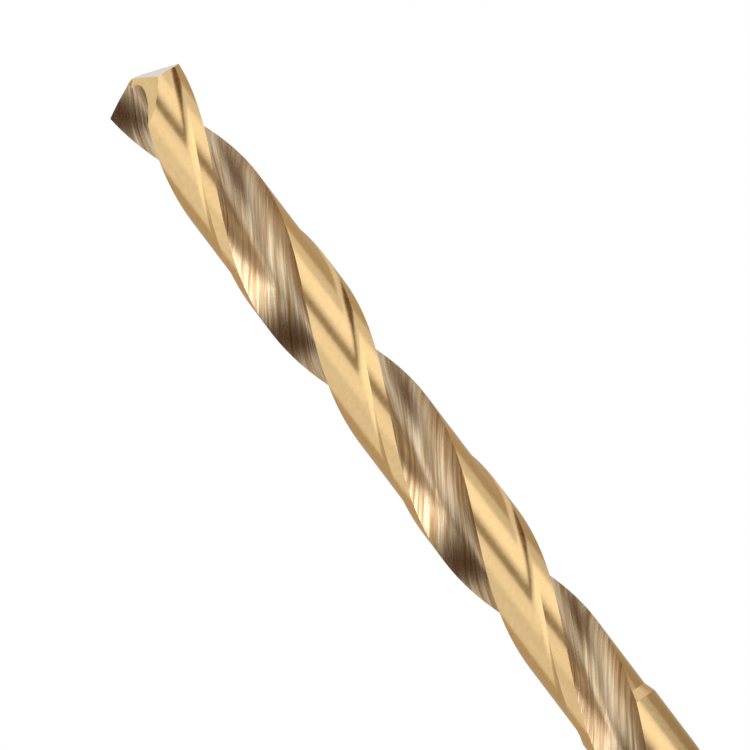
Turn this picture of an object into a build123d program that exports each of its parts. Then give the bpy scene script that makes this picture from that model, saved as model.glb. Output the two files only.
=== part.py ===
from build123d import *
import os
from math import acos, asin, atan2, cos, degrees, pi, radians, sin, sqrt, tan

# Jobber-length twist drill bit, 1/4 inch, with a 135 degree split point.
#
# The bit is one piece of ground tool steel. It stands on the flat end of its shank, with its
# axis on Z and its point up; the origin is the centre of the shank's end. All sizes are in
# millimetres. Seen from the point, it turns anticlockwise as it cuts.
#
# It is made here in the order in which it is ground: a round bar, the relief behind each
# margin, the two flutes with their run-out, the two flanks of the point, and the two notches
# that split the point. "Depth" below is always the distance down from the tip.

# Bar: full diameter at the tip, with a slight back taper from there down to the shank
overall_length = 101.6
diameter = 6.35
shank_diameter = 6.32
shank_length = 30.5
shank_chamfer = 0.3

# Flutes: the form that the wheel leaves in a section square to the axis
flute_length = 69.85
helix_angle = 26.3
web_thickness = 1.02
web_growth = 0.0187  # gain in web thickness for each millimetre down from the tip
rake_offset = 0.16  # distance from the axis to the line of the cutting face
floor_radius = 1.11  # hollow between the cutting face and the web
heel_radius = 2.42  # hollow between the web and the heel
retreat_angle = 30.0  # direction in which the wheel backs out, from the cutting face
runout_radius = 22.0  # path of the wheel as it leaves the bar

# Margins, and the relieved land behind them
body_diameter = 5.79
margin_width = 0.85
hollow_radius = 1.5  # of the hollow by which a margin runs down to the land behind it
relief_length = 56.1
shoulder_angle = 18.0

# Point
point_angle = 134.0  # a nominal 135 degree point, ground within its usual 3 degrees
flank_cone_angle = 45.0  # half angle of the cone on which each flank is ground
flank_cone_reach = 7.0  # from the drill's axis back to the apex of that cone
flank_cone_lead = 1.1  # how far that cone's ridge lies ahead of the lip

# Notches that split the point
notch_turn = 23.6  # seen from the point, between a lip and the notch beside it
notch_slope = 48.0  # between the floor line of a notch and the drill's axis
notch_opening = 128.0
notch_radius = 0.12
notch_core = 0.32  # web left between the two notches

sections_per_turn = 24  # how closely the helical cutters are built up
clear = 1.0  # how far a cutter runs past what it cuts
rising = (Align.CENTER, Align.CENTER, Align.MIN)

radius = diameter / 2
shank_radius = shank_diameter / 2
body_radius = body_diameter / 2
web_radius = web_thickness / 2
lead = pi * diameter / tan(radians(helix_angle))
lip_slope = tan(radians(90 - point_angle / 2))
corner_depth = radius * lip_slope

# Flute form, in a frame whose X runs along the cutting face
floor_center_x = sqrt((web_radius + floor_radius) ** 2 - (rake_offset + floor_radius) ** 2)
web_direction = degrees(atan2(rake_offset + floor_radius, floor_center_x))
floor_center = Vector(floor_center_x, rake_offset + floor_radius)
heel_center = Vector(web_radius + heel_radius, 0).rotate(Axis.Z, web_direction)
retreat = Vector(1, 0).rotate(Axis.Z, retreat_angle)
retreat_rate = web_growth / 2 / cos(radians(web_direction - retreat_angle))

# How far the wheel has backed out where it leaves the bar, and the depth where it starts to
along = floor_center.dot(retreat)
exit_retreat = sqrt(along**2 + (radius + floor_radius) ** 2 - floor_center.dot(floor_center)) - along
runout_rise = exit_retreat - retreat_rate * flute_length
runout_start = flute_length - sqrt(2 * runout_radius * runout_rise - runout_rise**2)


def twist_at(depth):
    """Angle through which a section is turned, relative to the one at the outer corners."""
    return -360 * (depth - corner_depth) / lead


def section_plane(depth, angle, shift=0.0):
    """Plane square to the axis, turned by angle, with its origin moved as the wheel backs out."""
    origin = Vector(0, 0, overall_length - depth) + (retreat * shift).rotate(Axis.Z, angle)
    return Plane(origin=origin, x_dir=Vector(1, 0).rotate(Axis.Z, angle))


def wheel_retreat(depth):
    """Distance the flute wheel has backed out: the web's taper, then the run-out arc."""
    past = max(depth - runout_start, 0)
    return retreat_rate * depth + runout_radius - sqrt(runout_radius**2 - past**2)


def depths_to(last):
    """Depths of the sections of a helical cutter, from above the tip down to last."""
    count = round((last + clear) * sections_per_turn / lead)
    return [-clear + (last + clear) * step / count for step in range(count + 1)]


# One flute, as the solid that the wheel sweeps
corner_angle = degrees(asin(web_radius / radius))
face_angle = corner_angle - degrees(asin(rake_offset / radius))
heel_overrun = 20.0  # how far the heel's arc runs on outside the bar
heel_sweep = 2 * degrees(asin(radius / (2 * heel_radius))) + heel_overrun
reach = 2 * radius

with BuildPart() as flute:
    for depth in depths_to(flute_length + clear):
        with BuildSketch(section_plane(depth, face_angle + twist_at(depth), wheel_retreat(depth))):
            with BuildLine():
                cutting_face = Line((reach, rake_offset), (floor_center.X, rake_offset))
                CenterArc(floor_center, floor_radius, 270, web_direction - 90)
                heel_side = CenterArc(heel_center, heel_radius, 180 + web_direction, -heel_sweep)
                Polyline(heel_side @ 1, (reach, reach), cutting_face @ 0)
            make_face()
    loft()

# One relief: a helical ring sector behind the margin, that stops at the shoulder
margin_angle = degrees(margin_width / cos(radians(helix_angle)) / radius)
hollow_reach = body_radius + hollow_radius
hollow_angle = degrees(acos((hollow_reach**2 + radius**2 - hollow_radius**2) / (2 * hollow_reach * radius)))
hollow_center = Vector(hollow_reach, 0).rotate(Axis.Z, -hollow_angle)
hollow_sweep = 60.0  # far enough for the hollow to leave the bar
relief_sweep = 100.0  # far enough for the relief to end inside the next flute
relief_end = Vector(reach, 0).rotate(Axis.Z, -relief_sweep)
shoulder_slope = tan(radians(shoulder_angle))
shoulder_top = overall_length - relief_length

with BuildPart() as relief:
    for depth in depths_to(relief_length + diameter):
        with BuildSketch(section_plane(depth, corner_angle - margin_angle + twist_at(depth))):
            with BuildLine():
                land = CenterArc((0, 0), body_radius, -relief_sweep, relief_sweep - hollow_angle)
                hollow = CenterArc(hollow_center, hollow_radius, 180 - hollow_angle, -hollow_sweep)
                Polyline(hollow @ 1, (reach, -reach), relief_end, land @ 0)
            make_face()
    loft()
    with BuildSketch(Plane.XZ):
        with BuildLine():
            Polyline(
                (0, shoulder_top),
                (body_radius, shoulder_top),
                (reach, shoulder_top - (reach - body_radius) / shoulder_slope),
                (reach, 0),
                (0, 0),
                close=True,
            )
        make_face()
    revolve(axis=Axis.Z, mode=Mode.SUBTRACT)

# The metal that the two flank grinds take off the end of the bar. A lip lies beside the ridge
# of its cone, where the cone curves down, so the ridge is a little steeper than the lip.
ridge_y = web_radius + flank_cone_lead
cone_span = 2 * tan(radians(flank_cone_angle)) * flank_cone_reach * (flank_cone_reach + radius)
cone_fall = atan2(lip_slope + flank_cone_lead**2 / cone_span, 1) + radians(flank_cone_angle)
cone_cos = cos(radians(flank_cone_angle))
across = flank_cone_reach * cos(cone_fall)
spread = cone_cos**2 * (flank_cone_reach**2 + ridge_y**2) - across**2
steepness = sin(cone_fall) ** 2 - cone_cos**2
fall = across * sin(cone_fall)
apex_rise = spread / (fall + sqrt(fall**2 + steepness * spread))
cone_height = 6 * diameter  # enough to cover the whole point
cone_plane = Plane(
    origin=(-flank_cone_reach, ridge_y, overall_length + apex_rise),
    x_dir=(0, 1, 0),
    z_dir=(-cos(cone_fall), 0, sin(cone_fall)),
)

with BuildPart() as flank_cone:
    with Locations(cone_plane):
        Cone(
            bottom_radius=cone_height * tan(radians(flank_cone_angle)),
            top_radius=0,
            height=cone_height,
            align=(Align.CENTER, Align.CENTER, Align.MAX),
        )

with BuildPart() as both_flanks:
    add(flank_cone.part)
    add(flank_cone.part, rotation=(0, 0, 180), mode=Mode.INTERSECT)

with BuildPart() as point_waste:
    with BuildSketch(Plane.XY.offset(overall_length - diameter)):
        Circle(radius + clear)
    extrude(amount=diameter + 2 * clear)
    add(both_flanks.part, mode=Mode.SUBTRACT)

# One notch: a straight V whose upright wall gives the inner part of a lip
turn = radians(notch_turn)
slope = radians(notch_slope)
floor_line = Vector(-sin(slope) * cos(turn), -sin(slope) * sin(turn), -cos(slope))
wall_side = Vector(sin(turn), -cos(turn), 0)
notch_start = Vector(0, 0, overall_length) + wall_side * (notch_core / 2) - floor_line * clear
notch_reach = 2 * diameter

with BuildPart() as notch:
    with BuildSketch(Plane(origin=notch_start, x_dir=wall_side, z_dir=floor_line)):
        with BuildLine():
            floor_end = Vector(0, notch_reach).rotate(Axis.Z, -notch_opening)
            Polyline((0, 0), floor_end, (notch_reach, notch_reach), (0, notch_reach), close=True)
        make_face()
        fillet(vertices().sort_by_distance((0, 0))[0], notch_radius)
    extrude(amount=diameter + clear)

# The bit: the bar, ground by each of them on both sides
with BuildPart() as drill_bit:
    Cylinder(shank_radius, shank_length, align=rising)
    chamfer(edges().group_by(Axis.Z)[0], shank_chamfer)
    with Locations((0, 0, shank_length)):
        Cone(shank_radius, radius, overall_length + clear - shank_length, align=rising)
    with PolarLocations(0, 2):
        add(relief.part, mode=Mode.SUBTRACT)
        add(flute.part, mode=Mode.SUBTRACT)
    add(point_waste.part, mode=Mode.SUBTRACT)
    with PolarLocations(0, 2):
        add(notch.part, mode=Mode.SUBTRACT)

drill_bit.part.label = "drill_bit"
os.makedirs("parts", exist_ok=True)
export_step(drill_bit.part, "parts/drill_bit.step")
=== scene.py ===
# %% [markdown]
# # A twist drill bit, modelled and finished as it is ground
#
# The bit is one bar of tool steel. A round bar is ground all over: first the relief behind each
# margin, then the two flutes, then the point and the two notches that split it. Each grind is
# modelled here as the solid that the wheel sweeps, and taken off the bar. That way every edge of
# the bit falls where two grinds meet, as it does on the real one.

from math import acos, asin, atan2, cos, degrees, pi, radians, sin, sqrt, tan

import bpy
from mathutils import Matrix, Vector


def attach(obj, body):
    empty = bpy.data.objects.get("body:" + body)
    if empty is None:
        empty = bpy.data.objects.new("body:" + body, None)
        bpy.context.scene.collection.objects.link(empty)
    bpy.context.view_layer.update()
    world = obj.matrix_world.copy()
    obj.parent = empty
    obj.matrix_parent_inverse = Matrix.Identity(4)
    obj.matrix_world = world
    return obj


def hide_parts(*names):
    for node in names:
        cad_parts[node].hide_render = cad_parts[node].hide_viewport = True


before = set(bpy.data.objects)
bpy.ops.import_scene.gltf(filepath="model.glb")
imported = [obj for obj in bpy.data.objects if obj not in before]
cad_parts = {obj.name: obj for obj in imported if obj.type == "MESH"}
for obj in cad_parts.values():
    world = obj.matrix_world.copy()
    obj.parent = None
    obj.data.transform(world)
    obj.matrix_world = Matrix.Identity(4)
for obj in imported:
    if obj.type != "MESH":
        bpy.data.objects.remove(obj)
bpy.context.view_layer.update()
mm_per_metre = 1000

# %% [markdown]
# ## The bar
#
# The bar starts as a disc, which is drawn upwards: a small chamfer, the plain shank, and then the
# part that will be fluted. That part widens by a few hundredths of a millimetre up to the point,
# which is the drill's back taper and keeps it from binding in the hole. It has a ring for every
# millimetre, so that no facet of it is long and thin. All modelling is done in millimetres and
# scaled to metres at the end, since small facets survive the cuts better at that size.

# %% Turn the bar
length = 101.6
diameter = 6.35
radius = diameter / 2
shank_diameter = 6.32
shank_radius = shank_diameter / 2
shank_length = 30.5
shank_chamfer = 0.3
around_bar = 240
overrun = 1.0  # how far a cutter, or the uncut bar, runs on past the finished bit


def start(operator, name, **settings):
    """Adds a primitive with nothing else selected and opens it in edit mode, all selected."""
    bpy.ops.object.select_all(action="DESELECT")
    operator(**settings)
    bpy.context.object.name = name
    bpy.ops.object.mode_set(mode="EDIT")
    bpy.ops.mesh.select_all(action="SELECT")
    return bpy.context.object


def draw_out(rise, growth=1.0):
    """Extrudes the selected end by rise, and scales it about the axis."""
    bpy.ops.mesh.extrude_region_move(TRANSFORM_OT_translate={"value": (0, 0, rise)})
    if growth != 1.0:
        bpy.ops.transform.resize(value=(growth, growth, 1), center_override=(0, 0, 0))


def close_up(piece):
    """Merges doubles, turns all faces outward and leaves edit mode."""
    bpy.ops.mesh.select_all(action="SELECT")
    bpy.ops.mesh.remove_doubles(threshold=1e-4)
    bpy.ops.mesh.normals_make_consistent(inside=False)
    bpy.ops.object.mode_set(mode="OBJECT")
    return piece


bit = start(
    bpy.ops.mesh.primitive_circle_add,
    "ground_bit",
    vertices=around_bar,
    radius=shank_radius - shank_chamfer,
    fill_type="NGON",
)
draw_out(shank_chamfer, shank_radius / (shank_radius - shank_chamfer))
draw_out(shank_length - shank_chamfer)
fluted_rings = round(length + overrun - shank_length)
fluted_step = (length + overrun - shank_length) / fluted_rings
for ring in range(fluted_rings):
    ring_radius = shank_radius + (radius - shank_radius) * ring / fluted_rings
    next_radius = shank_radius + (radius - shank_radius) * (ring + 1) / fluted_rings
    draw_out(fluted_step, next_radius / ring_radius)
close_up(bit)
print("bar:", len(bit.data.polygons), "faces")

# %% [markdown]
# ## The flute grind
#
# A formed wheel leaves the same hollow all the way along a flute: a straight cutting face, a
# tight floor and a wide curve up to the heel. Its section is drawn with edges and arcs, and then
# extruded downwards. The wheel backs out slowly as it goes, which makes the web thicker towards
# the shank, and at the end on an arc, which is the run-out. The straight length is twisted last,
# so that the section and the helix stay two separate ideas.

# %% Draw the section of a flute and its path
helix_angle = radians(26.3)
lead = pi * diameter / tan(helix_angle)
web = 1.02
web_radius = web / 2
rake_offset = 0.16
floor_radius = 1.11
heel_radius = 2.42
flute_length = 69.85
runout_radius = 22.0
retreat_angle = radians(30)
web_growth = 0.0187
reach = 2 * radius  # how far from the axis a cutter goes
rake_parts, floor_parts, heel_parts = 14, 10, 36
heel_overrun = radians(20)

floor_x = sqrt((web_radius + floor_radius) ** 2 - (rake_offset + floor_radius) ** 2)
floor_y = rake_offset + floor_radius
web_direction = atan2(floor_y, floor_x)
heel_reach = web_radius + heel_radius
heel_x, heel_y = heel_reach * cos(web_direction), heel_reach * sin(web_direction)
retreat_rate = web_growth / 2 / cos(web_direction - retreat_angle)
along = floor_x * cos(retreat_angle) + floor_y * sin(retreat_angle)
exit_retreat = sqrt(along**2 + (radius + floor_radius) ** 2 - floor_x**2 - floor_y**2) - along
runout_rise = exit_retreat - retreat_rate * flute_length
runout_start = flute_length - sqrt(2 * runout_radius * runout_rise - runout_rise**2)
step = 0.4  # height of one extrusion


def wheel_retreat(depth):
    """How far the wheel has backed out at that depth below the tip."""
    past = max(depth - runout_start, 0)
    return retreat_rate * depth + runout_radius - sqrt(runout_radius**2 - past**2)


def start_section(name, x, y, height):
    """Starts a section as a single point."""
    piece = start(bpy.ops.mesh.primitive_plane_add, name, size=1)
    bpy.ops.mesh.merge(type="CENTER")
    bpy.ops.transform.translate(value=(x, y, height))
    return piece


def line_by(x, y, parts=1):
    """Carries the section on by a straight line."""
    for part in range(parts):
        bpy.ops.mesh.extrude_vertices_move(
            TRANSFORM_OT_translate={"value": (x / parts, y / parts, 0)}
        )


def arc_round(x, y, turn, parts, height):
    """Carries the section on by an arc about a centre; a positive turn is clockwise from above."""
    bpy.ops.mesh.spin(steps=parts, angle=turn, center=(x, y, height), axis=(0, 0, 1))


def fill_section():
    """Closes the section and fills it."""
    bpy.ops.mesh.select_all(action="SELECT")
    bpy.ops.mesh.edge_face_add()


def twist(piece, turned):
    """Twists a straight cutter to the drill's lead; turned is its angle at the shank's end."""
    bpy.context.view_layer.objects.active = piece
    heights = [point.co.z for point in piece.data.vertices]
    helix = piece.modifiers.new("helix", "SIMPLE_DEFORM")
    helix.deform_method = "TWIST"
    helix.deform_axis = "Z"
    helix.angle = 2 * pi * (max(heights) - min(heights)) / lead
    bpy.ops.object.modifier_apply(modifier="helix")
    piece.rotation_euler.z = turned
    bpy.ops.object.transform_apply(location=False, rotation=True, scale=False)


top = length + overrun
point_angle = 134
lip_slope = tan(radians(90 - point_angle / 2))
corner_height = length - radius * lip_slope
corner_angle = asin(web_radius / radius)

flute = start_section("flute_grind", reach, rake_offset, top)
heel_sweep = 2 * asin(radius / (2 * heel_radius)) + heel_overrun
line_by(floor_x - reach, 0, rake_parts)
arc_round(floor_x, floor_y, pi / 2 - web_direction, floor_parts, top)
arc_round(heel_x, heel_y, heel_sweep, heel_parts, top)
line_by(reach, 0)
fill_section()
flute_steps = round((flute_length + 2 * overrun) / step)
first = wheel_retreat(-overrun)
bpy.ops.transform.translate(value=(first * cos(retreat_angle), first * sin(retreat_angle), 0))
for count in range(flute_steps):
    depth = -overrun + count * step
    shift = wheel_retreat(depth + step) - wheel_retreat(depth)
    moved = (shift * cos(retreat_angle), shift * sin(retreat_angle), -step)
    bpy.ops.mesh.extrude_region_move(TRANSFORM_OT_translate={"value": moved})
close_up(flute)
twist(flute, corner_angle - asin(rake_offset / radius) - 2 * pi * corner_height / lead)
print("flute grind:", len(flute.data.polygons), "faces")

# %% [markdown]
# ## The relief behind a margin
#
# Only two narrow ribbons of a drill keep its full diameter, one beside each cutting face. These
# are the margins. The land behind each is ground lower, and a small hollow leads from the margin
# down to it. The section is a ring sector with that hollow at its front end. It runs down to a
# cone at its foot, because the wheel leaves the bar on a slope, and below that shoulder the bar
# is round again.

# %% Draw the section of the relief and end it on a cone
body_diameter = 5.79
body_radius = body_diameter / 2
margin_width = 0.85
hollow_radius = 1.5
relief_length = 56.1
shoulder_slope = tan(radians(18))

hollow_reach = body_radius + hollow_radius
hollow_angle = acos((hollow_reach**2 + radius**2 - hollow_radius**2) / (2 * hollow_reach * radius))
margin_angle = margin_width / cos(helix_angle) / radius
relief_sweep = radians(100)
hollow_sweep = radians(60)
wall_parts, land_parts, hollow_parts = 4, 30, 20
cone_overrun = 3


def at(distance, angle):
    """Place at that distance from the axis, at an angle anticlockwise from X."""
    return distance * cos(angle), distance * sin(angle)


hollow_x, hollow_y = at(hollow_reach, -hollow_angle)
rim_x, rim_y = at(hollow_radius, pi - hollow_angle - hollow_sweep)
end_x, end_y = at(body_radius, -relief_sweep)
outer_x, outer_y = at(reach, -relief_sweep)

relief = start_section("relief_grind", hollow_x + rim_x, hollow_y + rim_y, top)
line_by(reach - hollow_x - rim_x, -reach - hollow_y - rim_y)
line_by(outer_x - reach, outer_y + reach)
line_by(end_x - outer_x, end_y - outer_y, wall_parts)
arc_round(0, 0, -(relief_sweep - hollow_angle), land_parts, top)
arc_round(hollow_x, hollow_y, hollow_sweep, hollow_parts, top)
fill_section()
for count in range(round((relief_length + reach + 2 * overrun) / step)):
    bpy.ops.mesh.extrude_region_move(TRANSFORM_OT_translate={"value": (0, 0, -step)})
close_up(relief)
twist(relief, corner_angle - margin_angle - 2 * pi * corner_height / lead)


def cut(piece, tool, how="DIFFERENCE"):
    """Cuts a piece with a tool, whose finish goes onto the new faces, and removes the tool."""
    bpy.ops.object.select_all(action="DESELECT")
    bpy.context.view_layer.objects.active = piece
    grind = piece.modifiers.new("grind", "BOOLEAN")
    grind.operation = how
    grind.object = tool
    grind.solver = "MANIFOLD"
    grind.material_mode = "TRANSFER"
    bpy.ops.object.modifier_apply(modifier="grind")
    bpy.data.objects.remove(tool)


shoulder_height = length - relief_length
cone_radius = reach + cone_overrun
cone_fall = (cone_radius - body_radius) / shoulder_slope
bpy.ops.object.select_all(action="DESELECT")
bpy.ops.mesh.primitive_cone_add(
    vertices=around_bar,
    radius1=cone_radius,
    radius2=body_radius,
    depth=cone_fall,
    location=(0, 0, shoulder_height - cone_fall / 2),
)
cut(relief, bpy.context.object)
print("relief grind:", len(relief.data.polygons), "faces")

# %% [markdown]
# ## The two flank grinds at the point
#
# Each flank is ground as part of a cone whose apex lies far behind the drill's axis, so that it
# falls away behind the lip and clears the bottom of the hole. What is left of the bar is what
# both cones have in common. The metal above them is modelled as a plug less that common part,
# because a plug is a closed solid and cuts cleanly.

# %% Make the plug of metal that the flank grinds take off
flank_half_angle = radians(45)
apex_reach = 7.0
flank_cone_lead = 1.1  # how far the cone's ridge lies ahead of the lip
ridge_y = web_radius + flank_cone_lead

span = 2 * tan(flank_half_angle) * apex_reach * (apex_reach + radius)
axis_fall = atan2(lip_slope + flank_cone_lead**2 / span, 1) + flank_half_angle
across = apex_reach * cos(axis_fall)
spread = cos(flank_half_angle) ** 2 * (apex_reach**2 + ridge_y**2) - across**2
steepness = sin(axis_fall) ** 2 - cos(flank_half_angle) ** 2
fall = across * sin(axis_fall)
apex_rise = spread / (fall + sqrt(fall**2 + steepness * spread))
cone_height = 40.0
around_cone = 360
plug_height = 8.0
around_plug = 96


def flank_cone(name, side):
    """One flank's cone; side is 1 or -1 for the two sides of the drill."""
    bpy.ops.object.select_all(action="DESELECT")
    bpy.ops.mesh.primitive_cone_add(
        vertices=around_cone,
        radius1=cone_height * tan(flank_half_angle),
        radius2=0,
        depth=cone_height,
    )
    cone = bpy.context.object
    cone.name = name
    toward = Vector((-cos(axis_fall), 0, sin(axis_fall)))
    apex = Vector((-apex_reach, ridge_y, length + apex_rise))
    cone.rotation_euler = toward.to_track_quat("Z", "Y").to_euler()
    cone.location = apex - toward * (cone_height / 2)
    bpy.ops.object.transform_apply(location=True, rotation=True, scale=False)
    if side < 0:
        cone.rotation_euler.z = pi
        bpy.ops.object.transform_apply(location=False, rotation=True, scale=False)
    return cone


both_flanks = flank_cone("flank_cone", 1)
cut(both_flanks, flank_cone("other_cone", -1), "INTERSECT")
bpy.ops.object.select_all(action="DESELECT")
bpy.ops.mesh.primitive_cylinder_add(
    vertices=around_plug,
    radius=radius + overrun,
    depth=plug_height,
    location=(0, 0, top + overrun - plug_height / 2),
)
plug = bpy.context.object
bpy.ops.object.transform_apply(location=True, rotation=False, scale=False)
cut(plug, both_flanks)
print("plug over the point:", len(plug.data.polygons), "faces")

# %% [markdown]
# ## The notches that split the point
#
# A plain point has a blunt edge across the web, which wanders before it bites. Two small notches
# cut that edge away until only a short one is left. A notch is a straight V with a small radius
# at its root, so its section is drawn flat, one corner is bevelled, and it is extruded along the
# notch.

# %% Make one notch
notch_turn = radians(23.6)
notch_slope = radians(48)
notch_opening = radians(128)
notch_radius = 0.12
notch_core = 0.32
notch_reach = 12.7
notch_length = 8.0
notch_root_parts = 8

floor_line = Vector(
    (-sin(notch_slope) * cos(notch_turn), -sin(notch_slope) * sin(notch_turn), -cos(notch_slope))
)
wall_side = Vector((sin(notch_turn), -cos(notch_turn), 0))
notch_start = Vector((0, 0, length)) + wall_side * (notch_core / 2) - floor_line * overrun

notch = start_section("notch_grind", 0, 0, 0)
line_by(notch_reach * sin(notch_opening), notch_reach * cos(notch_opening))
line_by(notch_reach * (1 - sin(notch_opening)), notch_reach * (1 - cos(notch_opening)))
line_by(-notch_reach, 0)
fill_section()
bpy.ops.mesh.select_all(action="DESELECT")
bpy.ops.object.mode_set(mode="OBJECT")
for corner in notch.data.vertices:
    corner.select = corner.co.length < 1e-3
bpy.ops.object.mode_set(mode="EDIT")
bpy.ops.mesh.bevel(
    affect="VERTICES",
    offset=notch_radius / tan(notch_opening / 2),
    segments=notch_root_parts,
    profile=0.5,
)
bpy.ops.mesh.select_all(action="SELECT")
draw_out(notch_length)
close_up(notch)
sideways = floor_line.cross(wall_side)
frame_of_notch = Matrix((wall_side, sideways, floor_line)).transposed().to_4x4()
frame_of_notch.translation = notch_start
notch.matrix_world = frame_of_notch
bpy.ops.object.transform_apply(location=True, rotation=True, scale=False)
print("notch:", len(notch.data.polygons), "faces")

# %% [markdown]
# ## Grinding the bit
#
# Each cut is made twice, half a turn apart, since the drill has two flutes, two margins and two
# lips. Blender's manifold solver suits this, because the bar and all the cutters are closed
# solids: it keeps the cutters' own faces, so the hollows stay as smooth as they were drawn. It
# hands each cutter's finish on to the surface that it leaves, so the finishes are put on the
# cutters first.

# %% Name the finishes and put them on the cutters
land_steel = bpy.data.materials.new("coated_steel_ground_round")
flute_steel = bpy.data.materials.new("coated_steel_wheel_ground_flute")
notch_steel = bpy.data.materials.new("coated_steel_ground_notch")
# The flank finish is painted near white, a painted highlight in its colour.
flank_steel_painted_highlight = bpy.data.materials.new("ground_flank_painted_highlight")

for piece, finish in (
    (bit, land_steel),
    (relief, land_steel),
    (flute, flute_steel),
    (plug, flank_steel_painted_highlight),
    (notch, notch_steel),
):
    piece.data.materials.clear()
    piece.data.materials.append(finish)
print("finishes:", [m.name for m in bpy.data.materials])

# %% Grind both sides
sharpest_smooth = radians(15)  # an edge that turns more than this stays sharp
volume_tolerance = 0.01


def other_side(tool):
    """A copy of a cutter, half a turn round the axis, with its own mesh."""
    bpy.ops.object.select_all(action="DESELECT")
    copy = tool.copy()
    copy.data = tool.data.copy()
    bpy.context.scene.collection.objects.link(copy)
    copy.select_set(True)
    bpy.context.view_layer.objects.active = copy
    copy.rotation_euler.z = pi
    bpy.ops.object.transform_apply(location=False, rotation=True, scale=False)
    return copy


for tool in (relief, flute):
    cut(bit, other_side(tool))
    cut(bit, tool)
    print("ground to", len(bit.data.polygons), "faces")
cut(bit, plug)
cut(bit, other_side(notch))
cut(bit, notch)

bpy.ops.object.select_all(action="DESELECT")
bit.select_set(True)
bpy.context.view_layer.objects.active = bit
bpy.ops.object.mode_set(mode="EDIT")
close_up(bit)
bpy.ops.object.shade_smooth_by_angle(angle=sharpest_smooth)
bit.scale = [1 / mm_per_metre] * 3
bpy.ops.object.transform_apply(location=False, rotation=False, scale=True)
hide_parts("drill_bit")
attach(bit, "root")


def volume(piece):
    """Volume inside a closed piece, in cubic millimetres."""
    piece.data.calc_loop_triangles()
    total = 0.0
    for triangle in piece.data.loop_triangles:
        a, b, c = (piece.data.vertices[i].co for i in triangle.vertices)
        total += a.dot(b.cross(c)) / 6
    return total * mm_per_metre**3


ground_volume, cad_volume = volume(bit), volume(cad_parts["drill_bit"])
print("finished bit:", len(bit.data.loop_triangles), "triangles")
print("volume:", round(ground_volume, 1), "and of the CAD model:", round(cad_volume, 1))
if abs(ground_volume / cad_volume - 1) > volume_tolerance:
    raise RuntimeError("a grind went wrong: the bit's volume is not that of the CAD model")

# %% [markdown]
# ## How colours and nodes are written
#
# Colours are written as hex values, as on a paint chart, and one function turns them to the
# linear values that Blender mixes. A second function adds a shader node with its settings and its
# links, so that each finish below reads as a list of what it is made of.

# %% Colour and node helpers
def linear(hex_colour):
    """An sRGB hex colour as the linear RGBA that a shader takes."""
    parts = [int(hex_colour[i : i + 2], 16) / 255 for i in (1, 3, 5)]
    return (*[p / 12.92 if p <= 0.04045 else ((p + 0.055) / 1.055) ** 2.4 for p in parts], 1.0)


def fill(finish, target, inputs):
    """Puts values, or links from other nodes' outputs, into a node's inputs."""
    for socket, value in inputs.items():
        if isinstance(value, bpy.types.NodeSocket):
            finish.node_tree.links.new(value, target.inputs[socket])
        else:
            target.inputs[socket].default_value = value


def node(finish, kind, inputs=None, output=0, **settings):
    """Adds a shader node with its settings and inputs, and returns one of its outputs.

    Inputs is a dict of socket name or number to a value or to another node's output.
    """
    added = finish.node_tree.nodes.new(kind)
    for name, value in settings.items():
        setattr(added, name, value)
    fill(finish, added, inputs or {})
    return added.outputs[output]


print("a straw gold coating in linear light:", [round(v, 3) for v in linear("#C9A96B")])

# %% [markdown]
# ## Where a grind's marks run
#
# The flute wheel leaves fine scratches. They don't run along the flute but lean across it, since
# the wheel stands at a steeper angle than the helix. Light is spread across the scratches far
# more than along them, and this is what makes the bright and dark bands in a flute. The shader is
# told the direction of the scratches at each point: it is worked out from the height, in a frame
# that turns with the helix, and laid on the surface with a cross product.

# %% Direction of the flute's scratches
wheel_lean = radians(36)
flute_middle = corner_angle - asin(rake_offset / radius) + web_direction
turn_per_metre = 2 * pi / (lead / mm_per_metre)
turn_at_foot = flute_middle - turn_per_metre * corner_height / mm_per_metre

flute_steel.use_nodes = True
place = node(flute_steel, "ShaderNodeTexCoord", output="Object")
height = node(flute_steel, "ShaderNodeSeparateXYZ", {0: place}, output="Z")
turned = node(
    flute_steel,
    "ShaderNodeMath",
    {0: height, 1: turn_per_metre, 2: turn_at_foot},
    operation="MULTIPLY_ADD",
)
turned_back = node(flute_steel, "ShaderNodeMath", {0: turned, 1: -1.0}, operation="MULTIPLY")
straight = node(
    flute_steel,
    "ShaderNodeVectorRotate",
    {"Vector": place, "Angle": turned_back},
    rotation_type="Z_AXIS",
)
out = node(flute_steel, "ShaderNodeSeparateXYZ", {0: straight}, output="X")
aside = node(flute_steel, "ShaderNodeSeparateXYZ", {0: straight}, output="Y")
side = node(flute_steel, "ShaderNodeMath", {0: out}, operation="SIGN")
axis_aside = node(
    flute_steel, "ShaderNodeMath", {0: side, 1: -cos(wheel_lean)}, operation="MULTIPLY"
)
wheel_axis = node(
    flute_steel, "ShaderNodeCombineXYZ", {"X": 0.0, "Y": axis_aside, "Z": sin(wheel_lean)}
)
wheel_axis = node(
    flute_steel,
    "ShaderNodeVectorRotate",
    {"Vector": wheel_axis, "Angle": turned},
    rotation_type="Z_AXIS",
)
normal = node(flute_steel, "ShaderNodeNewGeometry", output="Normal")
scratch = node(
    flute_steel, "ShaderNodeVectorMath", {0: wheel_axis, 1: normal}, operation="CROSS_PRODUCT"
)
scratch = node(flute_steel, "ShaderNodeVectorMath", {0: scratch}, operation="NORMALIZE")
print("the scratches lean", round(degrees(wheel_lean)), "degrees from the axis")

# %% [markdown]
# ## The finish of the flutes
#
# Coated tool steel, ground by a formed wheel. The coating is a thin layer with the colour of
# straw. It copies every scratch, so it is a metal with a strong grain and no gloss of its own.
# The real scratches are a few hundredths of a millimetre apart. They are drawn about eight times
# coarser, as streaks in the colour and the roughness, because finer ones would not show.

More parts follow.
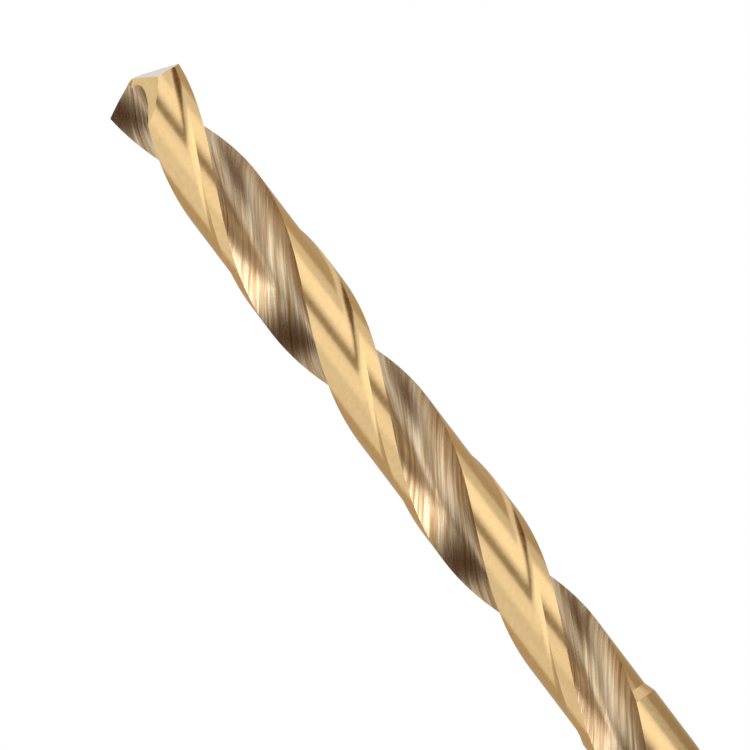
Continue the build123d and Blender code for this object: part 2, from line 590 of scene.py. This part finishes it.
# %% Flute finish
streak_width = 0.22  # mm
floor_slope = 0.187  # how far the helix moves aside for each mm of height, at the flute's floor
streak_stretch = 0.04  # how slowly a streak changes along its length
depth_stretch = 0.03  # how slowly it changes towards the axis

aside_on_side = node(flute_steel, "ShaderNodeMath", {0: aside, 1: side}, operation="MULTIPLY")
aside_part = node(
    flute_steel, "ShaderNodeMath", {0: aside_on_side, 1: cos(wheel_lean)}, operation="MULTIPLY"
)
height_part = node(
    flute_steel,
    "ShaderNodeMath",
    {0: height, 1: (floor_slope - tan(wheel_lean)) * cos(wheel_lean)},
    operation="MULTIPLY",
)
across_marks = node(
    flute_steel, "ShaderNodeMath", {0: aside_part, 1: height_part}, operation="ADD"
)
along_marks = node(
    flute_steel, "ShaderNodeMath", {0: height, 1: streak_stretch}, operation="MULTIPLY"
)
inward = node(flute_steel, "ShaderNodeMath", {0: out, 1: depth_stretch}, operation="MULTIPLY")
streak_place = node(
    flute_steel, "ShaderNodeCombineXYZ", {"X": across_marks, "Y": along_marks, "Z": inward}
)
streaks = node(
    flute_steel,
    "ShaderNodeTexNoise",
    {"Vector": streak_place, "Scale": mm_per_metre / streak_width, "Detail": 3.0, "Roughness": 0.65},
)
band = node(
    flute_steel, "ShaderNodeMapRange", {"Value": streaks, "From Min": 0.3, "From Max": 0.7}
)


def coat(finish, settings):
    """Puts settings and links on the finish's own shader."""
    fill(finish, finish.node_tree.nodes["Principled BSDF"], settings)


flute_ends = {0: band, 6: linear("#A37F50"), 7: linear("#E8D6B8")}
coat(
    flute_steel,
    {
        "Metallic": 1.0,
        "Base Color": node(
            flute_steel, "ShaderNodeMix", flute_ends, output=2, data_type="RGBA"
        ),
        "Roughness": node(
            flute_steel, "ShaderNodeMapRange", {"Value": streaks, "To Min": 0.34, "To Max": 0.2}
        ),
        "Anisotropic": 0.9,
        "Anisotropic Rotation": 0.25,
        "Tangent": scratch,
        "Normal": node(
            flute_steel,
            "ShaderNodeBump",
            {"Strength": 0.3, "Distance": 0.0001, "Height": streaks},
        ),
    },
)
print("flute finish:", len(flute_steel.node_tree.nodes), "nodes")

# %% [markdown]
# ## The finish of the lands, the margins and the shank
#
# The same coated steel, but ground round with a fine wheel, so it has no strong direction. It
# gives broad soft highlights and a faint uneven grain.

# %% Land finish
grain_width = 0.35  # mm
land_steel.use_nodes = True
land_place = node(land_steel, "ShaderNodeTexCoord", output="Object")
grain = node(
    land_steel,
    "ShaderNodeTexNoise",
    {"Vector": land_place, "Scale": mm_per_metre / grain_width, "Detail": 4.0, "Roughness": 0.7},
)
land_ends = {0: grain, 6: linear("#D8B27C"), 7: linear("#F0D29C")}
coat(
    land_steel,
    {
        "Metallic": 1.0,
        "Base Color": node(
            land_steel, "ShaderNodeMix", land_ends, output=2, data_type="RGBA"
        ),
        "Roughness": node(
            land_steel, "ShaderNodeMapRange", {"Value": grain, "To Min": 0.16, "To Max": 0.28}
        ),
        "Normal": node(
            land_steel, "ShaderNodeBump", {"Strength": 0.12, "Distance": 0.00005, "Height": grain}
        ),
    },
)
print("land finish:", len(land_steel.node_tree.nodes), "nodes")

# %% [markdown]
# ## The finishes of the point
#
# The flanks and the notches are ground last, with a straight pass of a fine wheel. The facets
# are nearly flat, so each one takes a single even tone with faint straight marks in it. The
# flanks are painted paler, near white: a painted highlight, the bright sheen that light gives
# them, put into their colour.

# %% Notch and flank finishes
mark_width = 0.1  # mm


def ground_straight(finish, marks_turned, low, high, roughness):
    """A flat ground facet, with fine straight marks turned that many degrees about the axis."""
    finish.use_nodes = True
    facet_place = node(finish, "ShaderNodeTexCoord", output="Object")
    laid = {
        "Vector": facet_place,
        "Rotation": (0, 0, radians(marks_turned)),
        "Scale": (0.1, 1, 0.5),
    }
    marks = node(
        finish,
        "ShaderNodeTexNoise",
        {"Vector": node(finish, "ShaderNodeMapping", laid), "Scale": mm_per_metre / mark_width},
    )
    ends = {0: marks, 6: linear(low), 7: linear(high)}
    bump = {"Strength": 0.15, "Distance": 0.00004, "Height": marks}
    coat(
        finish,
        {
            "Metallic": 1.0,
            "Base Color": node(finish, "ShaderNodeMix", ends, output=2, data_type="RGBA"),
            "Roughness": roughness,
            "Normal": node(finish, "ShaderNodeBump", bump),
        },
    )
    print(finish.name, "with", len(finish.node_tree.nodes), "nodes")


ground_straight(notch_steel, 20, "#C2A26A", "#E2C794", 0.34)
# The flanks' pale, near-white colours are a painted highlight, not the steel's own tone.
ground_straight(flank_steel_painted_highlight, 110, "#CFC6BA", "#E6E2DE", 0.28)

# %% [markdown]
# ## Floor and light
#
# Polished metal shows nothing but its surroundings, so the light is drawn as the bit sees it: a
# pale dome all round with a few soft boxes on it and some dark screens between them. Each is a
# card hung in the dome, with its place, its size and its brightness. The camera itself sees the
# dome as plain white. The floor is kept out of reflections, so that the lower cards reach the bit
# as they would on a clear stand.

# %% Floor
floor_size = 8  # metres
floor_finish = bpy.data.materials.new("matt_white_board")
floor_finish.use_nodes = True
coat(floor_finish, {"Base Color": linear("#F4F4F2"), "Roughness": 0.9})
bpy.ops.object.select_all(action="DESELECT")
bpy.ops.mesh.primitive_plane_add(size=floor_size)
floor = bpy.context.object
floor.name = "floor"
floor.data.materials.append(floor_finish)
floor.visible_glossy = False
floor.visible_shadow = False
print("floor:", [round(length_of_side, 2) for length_of_side in floor.dimensions])

# %% Dome with its soft boxes and dark screens
camera_azimuth = radians(20.7)
camera_right = Vector((cos(camera_azimuth), sin(camera_azimuth), 0))
camera_ahead = Vector((-sin(camera_azimuth), cos(camera_azimuth), 0))
soft_edge = 8  # degrees over which a card fades out
white_card = "#FFFFFF"
warm_card = "#F4E2C8"
gold_card = "#FFEFD0"
brown_felt = "#8A5C34"

dome = bpy.data.worlds.new("studio_dome")
bpy.context.scene.world = dome
dome.use_nodes = True
facing = node(dome, "ShaderNodeTexCoord", output="Generated")
rightward, toward_camera, upward = (
    node(dome, "ShaderNodeVectorMath", {0: facing, 1: way}, output="Value", operation="DOT_PRODUCT")
    for way in (camera_right, -camera_ahead, Vector((0, 0, 1)))
)
azimuth = node(dome, "ShaderNodeMath", {0: rightward, 1: toward_camera}, operation="ARCTAN2")
elevation = node(dome, "ShaderNodeMath", {0: upward}, operation="ARCSINE")


def within(angle, middle, size):
    """1 inside a span of degrees about its middle, and 0 outside, with a soft edge."""
    off = node(dome, "ShaderNodeMath", {0: angle, 1: radians(middle)}, operation="SUBTRACT")
    edges = {
        "Value": node(dome, "ShaderNodeMath", {0: off}, operation="ABSOLUTE"),
        "From Min": radians(size + soft_edge) / 2,
        "From Max": radians(size - soft_edge) / 2,
    }
    return node(dome, "ShaderNodeMapRange", edges, interpolation_type="SMOOTHSTEP")


def hang(behind, colour, brightness, middle, size):
    """Hangs a card in front of the light behind it.

    Its middle is degrees right of the camera and above the horizon, its size degrees across and up.
    """
    spans = {0: within(azimuth, middle[0], size[0]), 1: within(elevation, middle[1], size[1])}
    mask = node(dome, "ShaderNodeMath", spans, operation="MULTIPLY")
    card = tuple(brightness * part for part in linear(colour))
    ends = {0: mask, 6: behind, 7: card}
    return node(dome, "ShaderNodeMix", ends, output=2, data_type="RGBA")


# The white tent that stands all round the bit.
light = tuple(0.9 * part for part in linear(white_card))
# Dim walls at the back, on both sides, which turn the edges of the lands darker.
light = hang(light, warm_card, 0.6, (-145, 0), (90, 40))
light = hang(light, warm_card, 0.6, (145, 0), (90, 40))
# The lamp overhead, for the facets that look up.
light = hang(light, white_card, 1.5, (0, 90), (400, 50))
# The key: a large soft box high on the left, with the glow of its lamp in the middle.
light = hang(light, white_card, 1.4, (-60, 45), (90, 60))
light = hang(light, gold_card, 1.9, (-60, 45), (40, 20))
# A reflector low on the right, which lights the flutes from below.
light = hang(light, white_card, 3.5, (75, -45), (90, 60))
# A panel on each side of the camera, and the camera's own dark stand between them.
light = hang(light, white_card, 1.2, (-20, 5), (40, 20))
light = hang(light, white_card, 1.35, (50, 5), (40, 20))
light = hang(light, warm_card, 0.35, (10, 5), (20, 40))
# Brown felt on the table, below the camera and to the left, for the dark side of the flutes.
light = hang(light, brown_felt, 0.3, (-30, -30), (70, 50))
# A dark screen above the right panel, which puts a dark band in the upper part of each flute.
light = hang(light, brown_felt, 0.5, (40, 35), (50, 30))
# A black screen on the right, between the reflector and the tent.
light = hang(light, brown_felt, 0.05, (110, -10), (80, 20))

seen = node(dome, "ShaderNodeLightPath", output="Is Camera Ray")
ends = {0: seen, 6: light, 7: linear(white_card)}
light = node(dome, "ShaderNodeMix", ends, output=2, data_type="RGBA")
dome.node_tree.links.new(light, dome.node_tree.nodes["Background"].inputs["Color"])
bpy.context.scene.view_settings.view_transform = "Standard"
print("dome:", len(dome.node_tree.nodes), "nodes")

# %% [markdown]
# ## Camera
#
# The bit is seen from below its point, nearly square to its axis, with a long lens. The camera
# is rolled so that the bit lies across the frame from the upper left to the lower right.

# %% Place the camera
picture_width = 750  # pixels
bit_in_picture = 90  # pixels across the bit
frame_pixel = diameter / bit_in_picture / mm_per_metre  # metres at the bit
distance = 5896 * frame_pixel
aim_below_tip = 387.3 * frame_pixel
aim_aside = 12.4 * frame_pixel
sensor_width = 36  # mm
nearest = 0.01
tilt = -0.107  # radians; the camera looks up a little
roll = radians(37.17)
up = Vector((0, 0, 1))
looking = camera_ahead * cos(tilt) - up * sin(tilt)
upright = up * cos(tilt) + camera_ahead * sin(tilt)
aim = Vector((0, 0, length / mm_per_metre - aim_below_tip)) + camera_right * aim_aside
turn_of_frame = Matrix(
    (
        camera_right * cos(roll) - upright * sin(roll),
        camera_right * sin(roll) + upright * cos(roll),
        -looking,
    )
).transposed()
lens = bpy.data.cameras.new("camera")
lens.lens = sensor_width * distance / (picture_width * frame_pixel)
lens.clip_start = nearest
camera = bpy.data.objects.new("camera", lens)
bpy.context.scene.collection.objects.link(camera)
camera.matrix_world = Matrix.Translation(aim - looking * distance) @ turn_of_frame.to_4x4()
bpy.context.scene.camera = camera
print("camera at", [round(v, 3) for v in camera.location], "lens", round(lens.lens, 1))
